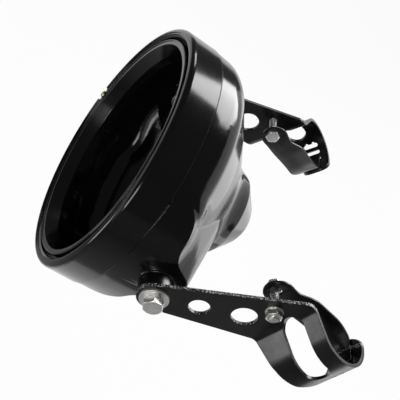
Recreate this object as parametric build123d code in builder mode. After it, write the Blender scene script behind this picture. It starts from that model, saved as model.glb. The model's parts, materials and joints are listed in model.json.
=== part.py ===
"""Round motorcycle headlight housing with two fork brackets.

All sizes are in millimetres. The origin is the centre of the bucket's front rim.
The lamp looks along -Y, +Z is up and +X is the rider's left.
"""

import os
from math import asin, atan2, cos, degrees, hypot, radians, sin, sqrt, tan

from build123d import *

os.makedirs("parts", exist_ok=True)

# Bore for the lamp unit, which the rings and the bucket are built out from
LAMP_BORE_R = 80.5

# Bucket, as radius and depth behind the front rim
WALL = 2.0
SPIGOT_STEP = 1.4
SPIGOT_LENGTH = 9.6
SHOULDER_DROP = 1.8
SHOULDER_Y = 30.3
SHOULDER_ROUND = 20.0
KNEE_R = 70.5
KNEE_Y = 51.0
KNEE_ROUND = 100.0
NECK_R = 38.5
NECK_Y = 74.7
NECK_ROUND = 28.0
STUB_R = 33.7
STUB_Y = 88.0
STUB_ROUND = 4.0
DOME_R = 29.0
DOME_Y = 80.0
DOME_EDGE_ANGLE = 45.0
SEAM_ROUND = 0.6

# Side tongues of the bucket, round the pivot bolts
PIVOT_Y = 40.0
TONGUE_R = 19.8
TONGUE_SPREAD = 45.0
TONGUE_FRONT_Y = 16.0
TONGUE_STEP = 0.6
TONGUE_DRAFT = 18.0
TONGUE_ROOT_X = 24.0
TONGUE_SPARE = 4.0
TONGUE_LENGTH = 60.0
TONGUE_EDGE_ROUND = 1.2
TONGUE_FOOT_ROUND = 6.0
TONGUE_WALL = 2.5
BOLT_SEAT_R = 13.0
BOLT_SEAT_PROUD = 1.6
BOLT_SEAT_ROUND = 0.8
BOLT_SEAT_THICKNESS = 5.0

# Wire hole low on the back of the bucket
WIRE_HOLE_R = 8.0
WIRE_HOLE_SET = 0.6
GROMMET_LIP = 2.5
GROMMET_LIP_THICKNESS = 2.2
GROMMET_BORE_R = 5.0
GROMMET_LIP_PLAY = 0.7

# Trim ring, folded from sheet
TRIM_PROUD = 0.4
TRIM_SHEET = 1.5
TRIM_SEAM_GAP = 0.2
TRIM_DEPTH = 15.8
TRIM_FRONT_ROUND = 3.9
TRIM_BACK_ROUND = 1.2
TRIM_FACE_WIDTH = 6.7
TRIM_STEP_DEPTH = 0.7
TRIM_STEP_ONE = 4.0
TRIM_STEP_TWO = 5.4
TRIM_LIP = 2.4

# Lamp ring and its seal
SEAL_THICKNESS = 2.0
SEAL_WIDTH = 1.6
SEAL_INSET = 0.2
FLANGE_SHEET = 1.5
FLANGE_PLAY = 0.6
LAMP_RING_PLAY = 2.7
LAMP_SHEET = 1.3
LAMP_FRONT_SET = 0.8
LAMP_FACE_WIDTH = 4.0
LAMP_OPENING_SET = 0.7
LAMP_TAPER = 3.5
LAMP_COLLAR_Y = -5.0
LAMP_COLLAR_LENGTH = 6.2
LAMP_GROOVE = 0.6
LAMP_NOTCH_COUNT = 3
LAMP_NOTCH_WIDTH = 11.0
LAMP_NOTCH_DEPTH = 4.5
LAMP_NOTCH_ANGLE = 6.0

# Screw that draws the lamp ring and the trim ring together
RING_SCREW_ANGLE = 200.0
RING_SCREW_R = 1.25
RING_SCREW_INSET = 3.5
RING_SCREW_SEAT_SET = 2.4
RING_SCREW_SEAT_DEPTH = 3.0
RING_SCREW_DISH_WIDTH = 12.0
RING_SCREW_DISH_IN = 2.9
RING_SCREW_DISH_CORNER = 2.5
RING_SCREW_HEAD_R = 2.8
RING_SCREW_HEAD_HEIGHT = 2.4
RING_SCREW_HOLE_PLAY = 0.2
RING_SCREW_SLOT = 0.7
RING_NUT_WIDTH = 7.0
RING_NUT_IN = 2.3
RING_NUT_OUT = 1.7
RING_NUT_LENGTH = 3.0
RING_NUT_PLAY = 0.5

# Pivot bolt and what is on it
PIVOT_BOLT_R = 4.0
PIVOT_HOLE_R = 4.3
PIVOT_HEAD_FLATS = 13.0
PIVOT_HEAD_HEIGHT = 5.3
PIVOT_BOLT_LENGTH = 31.0
FLAT_WASHER_R = 10.1
FLAT_WASHER_THICKNESS = 1.6
SPRING_WASHER_R = 7.3
SPRING_WASHER_THICKNESS = 2.0
SPRING_WASHER_SLIT = 1.2
SPRING_WASHER_SLANT = 30.0
SPACER_R = 12.0
SPACER_ROUND = 0.8
INNER_WASHER_R = 8.5
INNER_WASHER_THICKNESS = 1.6
PIVOT_NUT_HEIGHT = 6.5
WASHER_HOLE_R = 4.2

# Bracket sheet: p runs rearward square to the fork, q runs up along the fork, both from the pivot
LEFT_TURN = 25.0
RIGHT_TURN = 10.1
ARM_TO_FORK = 57.1
ARM_SHEET = 2.5
SPACER_LENGTH = 9.1
ARM_END_R = 12.0
ARM_FLARE = 7.3
ARM_HOLE_ONE_U = 30.3
ARM_HOLE_ONE_R = 7.35
ARM_HOLE_TWO_U = 60.9
ARM_HOLE_TWO_R = 9.0
FOLD_TO_FORK = 27.6
FOLD_ROUND = 6.0
FORK_P = 102.1
FORK_OFFSET = 6.8
FORK_R = 19.2
BAND_EASE_ANGLE = 110.0
BAND_EASE = 1.45
BAND_END_ANGLE = -29.5
BAND_TOP_Q = 74.5
BAND_TOP_CORNER = 9.0
BAND_END_CORNER = 9.0
BAND_LOW_TO_FORK = 14.1
BAND_LOW_MID = 3.1
BAND_LOW_MID_Q = 33.3
BAND_LOW_REAR = 16.8
BAND_LOW_REAR_Q = 42.5
BAND_LOW_END_Q = 49.8
WINDOW_LOW_Q = 45.5
WINDOW_WIDTH = 17.0
WINDOW_RUN = 7.0
WINDOW_END_ANGLE = 96.7
WINDOW_REACH = 6.0
SLOT_MID_Q = 61.0
SLOT_LENGTH = 13.2
SLOT_WIDTH = 3.4
SLOT_FIRST_ANGLE = 51.5
SLOT_PITCH = 17.4
SLOT_COUNT = 3
SLOT_LOBE_R = 1.4
SLOT_LOBE_SPACING = 6.0

# Clamp strap and its bolt
STRAP_SHEET = 1.5
STRAP_REACH = 16.5
STRAP_LOBE_R = 10.7
STRAP_LOBE_TO_FORK = 39.3
STRAP_MID_Q = 52.5
STRAP_NECK_TO_FORK = 30.1
STRAP_NECK_HALF = 9.6
STRAP_FULL_TO_FORK = 20.1
STRAP_TOP_Q = 67.7
STRAP_LOW_Q = 41.2
STRAP_LOW_REAR = 8.9
STRAP_LOW_REAR_Q = 46.5
STRAP_BEND_ROUND = 8.0
STRAP_HOLE_LENGTH = 10.0
STRAP_TIP_WIDTH = 11.0
STRAP_TIP_ANGLE = 6.2
STRAP_TIP_RUN = 2.2
STRAP_TIP_LENGTH = 5.5
STRAP_TIP_BEND = 1.2
STRAP_HOOK_LENGTH = 4.0
STRAP_HOOK_TURN = 70.0
CLAMP_TO_FORK = 43.1
CLAMP_Q = 52.3
CLAMP_BOLT_R = 3.0
CLAMP_HOLE_R = 3.3
CLAMP_HEAD_FLATS = 10.0
CLAMP_HEAD_HEIGHT = 4.0
CLAMP_NUT_HEIGHT = 5.0
CLAMP_WASHER_R = 6.0
CLAMP_WASHER_THICKNESS = 1.2
CLAMP_BOLT_PROUD = 1.2

HEX_CHAMFER = 0.8


def bearing(radius, angle):
    """Return the point at a radius and an angle in degrees."""
    return (radius * cos(radians(angle)), radius * sin(radians(angle)))


def shifted(point, length, angle):
    """Return a point moved by a length along an angle in degrees."""
    step = bearing(length, angle)
    return (point[0] + step[0], point[1] + step[1])


def inset(corners, amount):
    """Corners of a line of straight runs moved over by an amount, to the left of its way."""
    normals = []
    for (x0, y0), (x1, y1) in zip(corners[:-1], corners[1:]):
        run = hypot(x1 - x0, y1 - y0)
        normals.append(((y0 - y1) / run, (x1 - x0) / run))
    moved = []
    for place, before, after in zip(corners, normals[:1] + normals, normals + normals[-1:]):
        meet = amount / (1 + before[0] * after[0] + before[1] * after[1])
        moved.append((place[0] + meet * (before[0] + after[0]), place[1] + meet * (before[1] + after[1])))
    return moved


def front_plane(angle, radius, y):
    """Plane facing forwards at a clock angle and radius of the lamp, with x pointing outwards."""
    spot = bearing(radius, angle)
    out = bearing(1, angle)
    return Plane(origin=(spot[0], y, spot[1]), x_dir=(out[0], 0, out[1]), z_dir=(0, -1, 0))


def pivot_plane(facing, out):
    """Plane square to a pivot bolt, facing away from the lamp on the left (1) or right (-1)."""
    return Plane(origin=(facing * out, PIVOT_Y, 0), x_dir=(0, 1, 0), z_dir=(facing, 0, 0))


def clamp_plane(out):
    """Plane square to the clamp bolt in bracket axes, facing away from the lamp."""
    return Plane(origin=(clamp_p, out, CLAMP_Q), x_dir=(1, 0, 0), z_dir=(0, 1, 0))


def bracket_plane(turn):
    """Bracket axes in the lamp's frame: x rearward, y towards the rider's right, z up the fork."""
    lean = radians(ARM_TO_FORK + turn)
    return Plane(
        origin=(0, PIVOT_Y, 0),
        x_dir=(0, sin(lean), -cos(lean)),
        z_dir=(0, cos(lean), sin(lean)),
    )


def save(part, name):
    """Label a finished piece and write it."""
    part.label = name
    export_step(part, f"parts/{name}.step")


# Rings and bucket rim, from the lamp bore outwards and from the trim ring's face back
lamp_opening_r = LAMP_BORE_R + LAMP_TAPER
lamp_wall_r = lamp_opening_r + LAMP_FACE_WIDTH
trim_inner_r = lamp_wall_r + LAMP_RING_PLAY
trim_r = trim_inner_r + TRIM_FACE_WIDTH
trim_step_one_r = trim_r - TRIM_STEP_ONE
trim_step_two_r = trim_r - TRIM_STEP_TWO
flange_r = trim_r - TRIM_SHEET - FLANGE_PLAY
bucket_band_r = trim_r - TRIM_PROUD
spigot_r = bucket_band_r - SPIGOT_STEP
shoulder_r = bucket_band_r - SHOULDER_DROP
seal_outer_r = spigot_r - SEAL_INSET
seal_inner_r = seal_outer_r - SEAL_WIDTH
trim_front_y = -TRIM_DEPTH
trim_lip_y = trim_front_y + TRIM_LIP
lamp_front_y = trim_front_y + LAMP_FRONT_SET
lamp_opening_y = lamp_front_y + LAMP_OPENING_SET
ring_screw_centre_r = trim_r - RING_SCREW_INSET
ring_screw_seat_y = trim_front_y + RING_SCREW_SEAT_SET
ring_screw_dish_inner_r = ring_screw_centre_r - RING_SCREW_DISH_IN
ring_nut_inner_r = ring_screw_centre_r - RING_NUT_IN
ring_nut_outer_r = ring_screw_centre_r + RING_NUT_OUT

# Side stack, from the tongue outwards
tongue_drum_r = bucket_band_r - TONGUE_STEP
bolt_seat_x = tongue_drum_r + BOLT_SEAT_PROUD
inner_seat_x = bolt_seat_x - BOLT_SEAT_THICKNESS
tongue_top_x = bolt_seat_x + TONGUE_SPARE
arm_inner_face = bolt_seat_x + SPACER_LENGTH
fork_out = arm_inner_face + FORK_OFFSET
strap_lobe_mid = arm_inner_face - STRAP_REACH

# Places along the bracket, from the fork's axis
fold_p = FORK_P - FOLD_TO_FORK
band_low_p = FORK_P - BAND_LOW_TO_FORK
band_low_mid_p = FORK_P + BAND_LOW_MID
band_low_rear_p = FORK_P + BAND_LOW_REAR
strap_lobe_p = FORK_P - STRAP_LOBE_TO_FORK
strap_neck_p = FORK_P - STRAP_NECK_TO_FORK
strap_full_p = FORK_P - STRAP_FULL_TO_FORK
strap_low_rear_p = FORK_P + STRAP_LOW_REAR
clamp_p = FORK_P - CLAMP_TO_FORK

# Bucket: one turned skin with a tongue on each side, hollowed to the wall
lamp_half = Plane(origin=(0, 0, 0), x_dir=(0, 0, 1), z_dir=(-1, 0, 0))
pivot_axis = Axis((0, PIVOT_Y, 0), (1, 0, 0))
pivot_half = Plane(origin=(0, PIVOT_Y, 0), x_dir=(0, 1, 0), z_dir=(0, 0, -1))
flange_front = -SEAL_THICKNESS - FLANGE_SHEET
ring_nut_back = RING_NUT_LENGTH - SEAL_THICKNESS
wire_slope = degrees(atan2(NECK_Y - KNEE_Y, KNEE_R - NECK_R))
knee_turn = degrees(atan2(KNEE_Y - SHOULDER_Y, shoulder_r - KNEE_R)) - wire_slope
knee_reach = KNEE_ROUND * tan(radians(abs(knee_turn)) / 2)
wire_run = knee_reach + WIRE_HOLE_R + GROMMET_LIP + WIRE_HOLE_SET
wire_y = KNEE_Y + wire_run * sin(radians(wire_slope))
wire_r = KNEE_R - wire_run * cos(radians(wire_slope))
wire_plane = Plane(
    origin=(0, wire_y, -wire_r),
    x_dir=(1, 0, 0),
    z_dir=(0, cos(radians(wire_slope)), -sin(radians(wire_slope))),
)

skin_corners = [
    (bucket_band_r, SPIGOT_LENGTH),
    (shoulder_r, SHOULDER_Y),
    (KNEE_R, KNEE_Y),
    (NECK_R, NECK_Y),
    (STUB_R, STUB_Y),
    shifted((0, DOME_Y), DOME_R, DOME_EDGE_ANGLE),
]
hollow_corners = inset(skin_corners, WALL)
band_lean = (bucket_band_r - shoulder_r) / (SHOULDER_Y - SPIGOT_LENGTH)
hollow_step_y = SPIGOT_LENGTH + WALL
hollow_step = (hollow_corners[0][0] + (hollow_corners[0][1] - hollow_step_y) * band_lean, hollow_step_y)

with BuildSketch(lamp_half) as skin:
    with BuildLine():
        Polyline((0, 0), (spigot_r, 0), (spigot_r, SPIGOT_LENGTH), (bucket_band_r, SPIGOT_LENGTH))
        FilletPolyline(*skin_corners, radius=[SHOULDER_ROUND, KNEE_ROUND, NECK_ROUND, STUB_ROUND])
        CenterArc((0, DOME_Y), DOME_R, DOME_EDGE_ANGLE, 90 - DOME_EDGE_ANGLE)
        Line((0, DOME_Y + DOME_R), (0, 0))
    make_face()

# Left tongue: a drafted round nose with two tangent flanks, cut to the drum's curve
tongue_grow = tan(radians(TONGUE_DRAFT))
tongue_top_r = TONGUE_R - (tongue_top_x - bolt_seat_x) * tongue_grow
tongue_root_r = TONGUE_R + (bolt_seat_x - TONGUE_ROOT_X) * tongue_grow
pocket_top_r = TONGUE_R - TONGUE_WALL + (bolt_seat_x - inner_seat_x) * tongue_grow
pocket_root_r = tongue_root_r - TONGUE_WALL

with BuildPart() as tongue:
    with BuildSketch(pivot_half):
        Polygon(
            (0, TONGUE_ROOT_X),
            (tongue_root_r, TONGUE_ROOT_X),
            (tongue_top_r, tongue_top_x),
            (0, tongue_top_x),
            align=None,
        )
    revolve(axis=pivot_axis)
    for up in (1, -1):
        spread = radians(TONGUE_SPREAD)
        flank = Plane(
            origin=(0, PIVOT_Y, 0),
            x_dir=(0, sin(spread), up * cos(spread)),
            z_dir=(0, cos(spread), -up * sin(spread)),
        )
        with BuildSketch(flank):
            Polygon(
                (-TONGUE_LENGTH, up * TONGUE_ROOT_X),
                (tongue_root_r, up * TONGUE_ROOT_X),
                (tongue_top_r, up * tongue_top_x),
                (-TONGUE_LENGTH, up * tongue_top_x),
                align=None,
            )
        extrude(amount=-TONGUE_LENGTH)
    with BuildSketch(Plane.XY):
        with Locations((0, TONGUE_FRONT_Y)):
            Rectangle(tongue_drum_r, STUB_Y, align=(Align.MIN, Align.MIN))
    revolve(axis=Axis.Y, mode=Mode.INTERSECT)

# The hollow follows the skin, inset by the wall and open to the front
with BuildPart() as hollow:
    with BuildSketch(lamp_half):
        with BuildLine():
            Polyline((0, -WALL), (spigot_r - WALL, -WALL), (spigot_r - WALL, hollow_step[1]), hollow_step)
            FilletPolyline(
                hollow_step,
                *hollow_corners[1:],
                radius=[SHOULDER_ROUND - WALL, KNEE_ROUND - WALL, NECK_ROUND + WALL, STUB_ROUND - WALL],
            )
            ThreePointArc(
                hollow_corners[-1],
                shifted((0, DOME_Y), DOME_R - WALL, (DOME_EDGE_ANGLE + 90) / 2),
                (0, DOME_Y + DOME_R - WALL),
            )
            Line((0, DOME_Y + DOME_R - WALL), (0, -WALL))
        make_face()
    revolve(axis=Axis.Y)
    # Pockets with the tongues' own draft, inset by their wall, each with a flat end for the nut
    with BuildSketch(pivot_half):
        Polygon(
            (0, TONGUE_ROOT_X),
            (pocket_root_r, TONGUE_ROOT_X),
            (pocket_top_r, inner_seat_x),
            (0, inner_seat_x),
            align=None,
        )
    revolve(axis=pivot_axis)
    mirror(about=Plane.YZ)
    with BuildSketch(Plane.YZ):
        with Locations((PIVOT_Y, 0)):
            Circle(PIVOT_HOLE_R)
    extrude(amount=tongue_top_x + WALL, both=True)
    with BuildSketch(wire_plane):
        Circle(WIRE_HOLE_R)
    extrude(amount=4 * WALL, both=True)
    # Notch in the rim for the ring nut
    with BuildSketch(front_plane(RING_SCREW_ANGLE, spigot_r, ring_nut_back + RING_NUT_PLAY)):
        Rectangle(6 * WALL, RING_NUT_WIDTH + 2 * RING_NUT_PLAY)
    extrude(amount=SPIGOT_LENGTH)

with BuildPart() as bucket:
    add(skin.sketch)
    revolve(axis=Axis.Y)
    add(tongue.part)
    add(mirror(tongue.part, about=Plane.YZ, mode=Mode.PRIVATE))
    tongue_edges = [
        edge
        for edge in bucket.edges()
        if abs(hypot((edge @ 0.5).X, (edge @ 0.5).Z) - tongue_drum_r) < 0.2 and (edge @ 0.5).Y > SHOULDER_Y
    ]
    fillet(tongue_edges, TONGUE_EDGE_ROUND)
    tongue_feet = bucket.edges().filter_by(GeomType.HYPERBOLA)
    tongue_feet = tongue_feet.filter_by(lambda edge: abs(edge.center().X) > NECK_R)
    fillet(tongue_feet, TONGUE_FOOT_ROUND)
    # Flat seats for the spacers, outside the tongues
    for facing in (1, -1):
        with BuildSketch(pivot_plane(facing, KNEE_R)):
            Circle(BOLT_SEAT_R)
        extrude(amount=bolt_seat_x - KNEE_R)
        fillet(bucket.faces().sort_by(Axis.X)[-1 if facing > 0 else 0].edges(), BOLT_SEAT_ROUND)
    seam = bucket.edges().filter_by(GeomType.CIRCLE)
    seam = seam.filter_by(lambda edge: abs(edge.radius - bucket_band_r) < 0.01)
    fillet(seam.sort_by(Axis.Y)[0], SEAM_ROUND)
    add(hollow.part, mode=Mode.SUBTRACT)

save(bucket.part, "bucket")

# Wire grommet, turned about the wire hole's axis
grommet_axis = Axis(wire_plane.origin, wire_plane.z_dir)
grommet_section = Plane(origin=wire_plane.origin, x_dir=(1, 0, 0), z_dir=wire_plane.y_dir * -1)

with BuildPart() as wire_grommet:
    with BuildSketch(grommet_section):
        with Locations((GROMMET_BORE_R, -WALL - GROMMET_LIP_PLAY)):
            Rectangle(WIRE_HOLE_R - GROMMET_BORE_R, WALL + GROMMET_LIP_PLAY, align=(Align.MIN, Align.MIN))
        for lip_start in (0, -WALL - GROMMET_LIP_PLAY - GROMMET_LIP_THICKNESS):
            with Locations((GROMMET_BORE_R, lip_start)):
                Rectangle(
                    WIRE_HOLE_R + GROMMET_LIP - GROMMET_BORE_R,
                    GROMMET_LIP_THICKNESS,
                    align=(Align.MIN, Align.MIN),
                )
    revolve(axis=grommet_axis)

save(wire_grommet.part, "wire_grommet")

# Trim ring: band, rolled front with two fine steps, and a return wall that presses on the flange
trim_back = SPIGOT_LENGTH - TRIM_SEAM_GAP
trim_band_r = trim_r - TRIM_SHEET
trim_return_r = trim_inner_r + TRIM_SHEET
trim_step_one_y = trim_front_y + TRIM_STEP_DEPTH
trim_step_two_y = trim_step_one_y + TRIM_STEP_DEPTH
trim_seat_r = (trim_inner_r + trim_r) / 2

with BuildPart() as trim_ring:
    with BuildSketch(Plane.XY) as trim_section:
        Polygon(
            (trim_r, trim_back),
            (trim_r, trim_front_y),
            (trim_step_one_r, trim_front_y),
            (trim_step_one_r, trim_step_one_y),
            (trim_step_two_r, trim_step_one_y),
            (trim_step_two_r, trim_step_two_y),
            (trim_inner_r, trim_lip_y),
            (trim_inner_r, flange_front),
            (trim_return_r, flange_front),
            (trim_return_r, trim_step_two_y + TRIM_SHEET),
            (trim_step_one_r, trim_step_one_y + TRIM_SHEET),
            (trim_band_r, trim_front_y + TRIM_SHEET),
            (trim_band_r, trim_back),
            align=None,
        )
        fillet(trim_section.vertices().sort_by_distance((trim_r, trim_front_y))[0], TRIM_FRONT_ROUND)
        fillet(
            trim_section.vertices().sort_by_distance((trim_band_r, trim_front_y + TRIM_SHEET))[0],
            TRIM_BACK_ROUND,
        )
    revolve(axis=Axis.Y)
    with BuildSketch(front_plane(RING_SCREW_ANGLE, trim_seat_r, ring_screw_seat_y + RING_SCREW_SEAT_DEPTH)):
        Rectangle(trim_r - trim_inner_r - TRIM_SHEET, RING_SCREW_DISH_WIDTH + 2 * TRIM_SHEET)
    extrude(amount=RING_SCREW_SEAT_DEPTH)
    dish_length = 2 * (trim_r - ring_screw_dish_inner_r)
    dish_mid_r = ring_screw_dish_inner_r + dish_length / 2
    with BuildSketch(front_plane(RING_SCREW_ANGLE, dish_mid_r, ring_screw_seat_y)) as dish:
        Rectangle(dish_length, RING_SCREW_DISH_WIDTH)
        fillet(dish.vertices(), RING_SCREW_DISH_CORNER)
    extrude(amount=RING_SCREW_SEAT_DEPTH, mode=Mode.SUBTRACT)
    with BuildSketch(front_plane(RING_SCREW_ANGLE, ring_screw_centre_r, flange_front)):
        Circle(RING_SCREW_R + RING_SCREW_HOLE_PLAY)
    extrude(amount=flange_front - trim_front_y, mode=Mode.SUBTRACT)

save(trim_ring.part, "trim_ring")

# Lamp ring: flange, wall forward, rolled front and a tapered throat that ends in the lamp's collar
collar_back = LAMP_COLLAR_Y + LAMP_COLLAR_LENGTH
lamp_inner_wall_r = lamp_wall_r - LAMP_SHEET

with BuildPart() as lamp_ring:
    with BuildSketch(Plane.XY) as lamp_section:
        Polygon(
            (flange_r, flange_front),
            (lamp_wall_r, flange_front),
            (lamp_wall_r, lamp_front_y),
            (lamp_inner_wall_r, lamp_front_y),
            (lamp_inner_wall_r, lamp_front_y + LAMP_GROOVE),
            (lamp_inner_wall_r - LAMP_GROOVE, lamp_front_y + LAMP_GROOVE),
            (lamp_opening_r, lamp_opening_y),
            (LAMP_BORE_R, LAMP_COLLAR_Y),
            (LAMP_BORE_R, collar_back),
            (LAMP_BORE_R + LAMP_SHEET, collar_back),
            (LAMP_BORE_R + LAMP_SHEET, LAMP_COLLAR_Y),
            (lamp_opening_r + LAMP_SHEET, lamp_opening_y + LAMP_SHEET),
            (lamp_inner_wall_r, lamp_opening_y + LAMP_SHEET),
            (lamp_inner_wall_r, flange_front + FLANGE_SHEET),
            (flange_r, flange_front + FLANGE_SHEET),
            align=None,
        )
        fillet(lamp_section.vertices().sort_by_distance((lamp_wall_r, lamp_front_y))[0], LAMP_SHEET * 0.8)
    revolve(axis=Axis.Y)
    for number in range(LAMP_NOTCH_COUNT):
        notch_angle = LAMP_NOTCH_ANGLE + number * 360 / LAMP_NOTCH_COUNT
        with BuildSketch(front_plane(notch_angle, LAMP_BORE_R, collar_back)):
            Rectangle(4 * LAMP_SHEET, LAMP_NOTCH_WIDTH)
        extrude(amount=LAMP_NOTCH_DEPTH, mode=Mode.SUBTRACT)
    with BuildSketch(front_plane(RING_SCREW_ANGLE, ring_screw_centre_r, 0)):
        Circle(RING_SCREW_R + RING_SCREW_HOLE_PLAY)
    extrude(amount=-flange_front, mode=Mode.SUBTRACT)

save(lamp_ring.part, "lamp_ring")

# Seal between the bucket's rim and the flange, cut away at the ring nut
with BuildPart() as lamp_seal:
    with BuildSketch(Plane.XZ):
        Circle(seal_outer_r)
        Circle(seal_inner_r, mode=Mode.SUBTRACT)
    extrude(amount=SEAL_THICKNESS)
    with BuildSketch(front_plane(RING_SCREW_ANGLE, seal_outer_r, 0)):
        Rectangle(6 * WALL, RING_NUT_WIDTH + 2 * RING_NUT_PLAY)
    extrude(amount=SEAL_THICKNESS, mode=Mode.SUBTRACT)

save(lamp_seal.part, "lamp_seal")

# Ring screw with a domed head, and its nut block behind the flange
with BuildPart() as ring_screw:
    with BuildSketch(front_plane(RING_SCREW_ANGLE, ring_screw_centre_r, ring_screw_seat_y)):
        Circle(RING_SCREW_HEAD_R)
    extrude(amount=RING_SCREW_HEAD_HEIGHT)
    fillet(ring_screw.edges().sort_by(Axis.Y)[0], RING_SCREW_HEAD_HEIGHT / 2)
    with BuildSketch(front_plane(RING_SCREW_ANGLE, ring_screw_centre_r, trim_front_y)):
        Rectangle(RING_SCREW_SLOT, 2 * RING_SCREW_HEAD_R)
    extrude(amount=-RING_SCREW_SLOT, mode=Mode.SUBTRACT)
    with BuildSketch(front_plane(RING_SCREW_ANGLE, ring_screw_centre_r, ring_screw_seat_y)):
        Circle(RING_SCREW_R)
    extrude(amount=ring_screw_seat_y - ring_nut_back)

save(ring_screw.part, "ring_screw")

ring_nut_mid_r = (ring_nut_inner_r + ring_nut_outer_r) / 2

with BuildPart() as ring_nut:
    with BuildSketch(front_plane(RING_SCREW_ANGLE, ring_nut_mid_r, ring_nut_back)):
        Rectangle(ring_nut_outer_r - ring_nut_inner_r, RING_NUT_WIDTH)
        with Locations((ring_screw_centre_r - ring_nut_mid_r, 0)):
            Circle(RING_SCREW_R, mode=Mode.SUBTRACT)
    extrude(amount=RING_NUT_LENGTH)

save(ring_nut.part, "ring_nut")

# Pivot bolts with their washers, spacers and nuts, stacked outwards from the inner seat
arm_outer_face = arm_inner_face + ARM_SHEET
spring_washer_face = arm_outer_face + FLAT_WASHER_THICKNESS
pivot_head_face = spring_washer_face + SPRING_WASHER_THICKNESS
pivot_nut_face = inner_seat_x - INNER_WASHER_THICKNESS - PIVOT_NUT_HEIGHT


def hex_form(flats, height, plane):
    """Add a hexagon with its corners turned off on the side that faces away."""
    corner = flats / 2 / cos(radians(30))
    with BuildSketch(plane) as hexagon:
        RegularPolygon(flats / 2, 6, major_radius=False)
    extrude(hexagon.sketch, amount=height)
    section = Plane(origin=plane.origin, x_dir=plane.x_dir, z_dir=plane.y_dir * -1)
    with BuildSketch(section) as envelope:
        Polygon(
            (0, 0),
            (corner, 0),
            (corner, height - HEX_CHAMFER),
            (corner - HEX_CHAMFER / tan(radians(30)), height),
            (0, height),
            align=None,
        )
    revolve(envelope.sketch, axis=Axis(plane.origin, plane.z_dir), mode=Mode.INTERSECT)


def disc(plane, radius, hole, height):
    """Add a round plate with a hole."""
    with BuildSketch(plane) as ring:
        Circle(radius)
        Circle(hole, mode=Mode.SUBTRACT)
    extrude(ring.sketch, amount=height)


for side, facing in (("left", 1), ("right", -1)):
    with BuildPart() as side_bolt:
        hex_form(PIVOT_HEAD_FLATS, PIVOT_HEAD_HEIGHT, pivot_plane(facing, pivot_head_face))
        with BuildSketch(pivot_plane(facing, pivot_head_face)):
            Circle(PIVOT_BOLT_R)
        extrude(amount=-PIVOT_BOLT_LENGTH)
    save(side_bolt.part, f"{side}_side_bolt")

    with BuildPart() as spring_washer:
        disc(pivot_plane(facing, spring_washer_face), SPRING_WASHER_R, WASHER_HOLE_R, SPRING_WASHER_THICKNESS)
        # Slanted slit on the upper side
        slit = Plane(
            origin=(facing * (spring_washer_face + SPRING_WASHER_THICKNESS / 2), PIVOT_Y, 0),
            x_dir=(cos(radians(SPRING_WASHER_SLANT)), sin(radians(SPRING_WASHER_SLANT)), 0),
            z_dir=(0, 0, 1),
        )
        with BuildSketch(slit):
            Rectangle(4 * SPRING_WASHER_THICKNESS, SPRING_WASHER_SLIT)
        extrude(amount=SPRING_WASHER_R + SPRING_WASHER_THICKNESS, mode=Mode.SUBTRACT)
    save(spring_washer.part, f"{side}_spring_washer")

    with BuildPart() as flat_washer:
        disc(pivot_plane(facing, arm_outer_face), FLAT_WASHER_R, WASHER_HOLE_R, FLAT_WASHER_THICKNESS)
    save(flat_washer.part, f"{side}_flat_washer")

    with BuildPart() as spacer:
        disc(pivot_plane(facing, bolt_seat_x), SPACER_R, PIVOT_HOLE_R, arm_inner_face - bolt_seat_x)
        rims = spacer.edges().filter_by(GeomType.CIRCLE)
        rims = rims.filter_by(lambda edge: edge.radius > (PIVOT_HOLE_R + SPACER_R) / 2)
        fillet(rims, SPACER_ROUND)
    save(spacer.part, f"{side}_spacer")

    with BuildPart() as inner_washer:
        disc(
            pivot_plane(facing, inner_seat_x - INNER_WASHER_THICKNESS),
            INNER_WASHER_R,
            WASHER_HOLE_R,
            INNER_WASHER_THICKNESS,
        )
    save(inner_washer.part, f"{side}_inner_washer")

    with BuildPart() as side_nut:
        hex_form(PIVOT_HEAD_FLATS, PIVOT_NUT_HEIGHT, pivot_plane(facing, pivot_nut_face))
        with BuildSketch(pivot_plane(facing, pivot_nut_face)):
            Circle(PIVOT_BOLT_R)
        extrude(amount=PIVOT_NUT_HEIGHT, mode=Mode.SUBTRACT)
    save(side_nut.part, f"{side}_side_nut")

# Bracket, in its own axes: x is p, y is out and z is q
arm_mid = arm_inner_face + ARM_SHEET / 2
band_r = FORK_R + ARM_SHEET / 2
fold_point = (fold_p, arm_mid)
fork_point = (FORK_P, fork_out)
fork_distance = hypot(FORK_P - fold_p, fork_out - arm_mid)
fold_turn = degrees(atan2(fork_out - arm_mid, FORK_P - fold_p) + asin(band_r / fork_distance))
run_length = sqrt(fork_distance**2 - band_r**2)
run_end = shifted(fold_point, run_length, fold_turn)
wrap_start = fold_turn + 90
ease_point = shifted(fork_point, -BAND_EASE, BAND_EASE_ANGLE)
ease_r = band_r + BAND_EASE
arm_slope = 90 - ARM_TO_FORK
low_edge = shifted((0, 0), ARM_END_R, arm_slope - ARM_FLARE - 90)
high_edge = shifted((0, 0), ARM_END_R, arm_slope + ARM_FLARE + 90)
low_run = (band_low_p - low_edge[0]) / cos(radians(arm_slope - ARM_FLARE))
low_corner = shifted(low_edge, low_run, arm_slope - ARM_FLARE)
high_corner = shifted(
    high_edge,
    (BAND_TOP_Q - high_edge[1]) / sin(radians(arm_slope + ARM_FLARE)),
    arm_slope + ARM_FLARE,
)
band_reach = FORK_P + FORK_R + 3 * ARM_SHEET


def square_plane(point, angle, q):
    """Plane whose normal points along an angle of the p-out plane, with x round the bend and y up."""
    normal = bearing(1, angle)
    across = (normal[1], -normal[0], 0)
    return Plane(origin=(point[0], point[1], q), x_dir=across, z_dir=(normal[0], normal[1], 0))


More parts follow.
